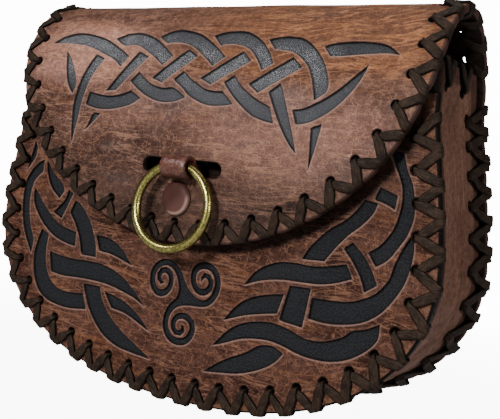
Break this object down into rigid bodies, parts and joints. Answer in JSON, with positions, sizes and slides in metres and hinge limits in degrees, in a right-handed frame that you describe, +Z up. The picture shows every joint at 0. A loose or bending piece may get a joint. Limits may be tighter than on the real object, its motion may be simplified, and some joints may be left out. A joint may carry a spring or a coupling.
{
  "type": "belt pouch",
  "caption": "Laced leather belt pouch with a round wrap-over flap, side gusset, ring in a leather loop, domed snap and two belt loops.",
  "frame": {"origin": "middle of the overall box, at the surface that the pouch stands on", "axes": "+X to the right as the front is looked at, +Y from the front to the back, +Z up; the front faces -Y"},
  "size_m": [0.1736, 0.0645, 0.1341],
  "materials": {
    "panel_leather": "waxed reddish-brown leather with rubbed edges",
    "lace": "dark flat thong",
    "loop_leather": "smooth glossy strap leather",
    "ring_metal": "antique brass, satin",
    "cap": "satin brown enamel",
    "stud": "plain"
  },
  "bodies": {
    "pouch": {"front_panel": "panel_leather", "gusset": "panel_leather", "back_and_flap": "panel_leather", "front_lace": "lace", "back_lace": "lace", "flap_lace": "lace", "gusset_lace_left": "lace", "gusset_lace_right": "lace", "ring_loop": "loop_leather", "snap_cap": "cap", "snap_stud": "stud", "belt_loop_left": "loop_leather", "belt_loop_right": "loop_leather"},
    "ring": {"ring": "ring_metal"}
  },
  "joints": [
    {"name": "ring_swing", "type": "hinge", "parent": "pouch", "child": "ring", "pos_m": [0.0005, -0.02834, 0.0764], "axis": [-1, 0, 0], "range_deg": [-5, 165]}
  ]
}
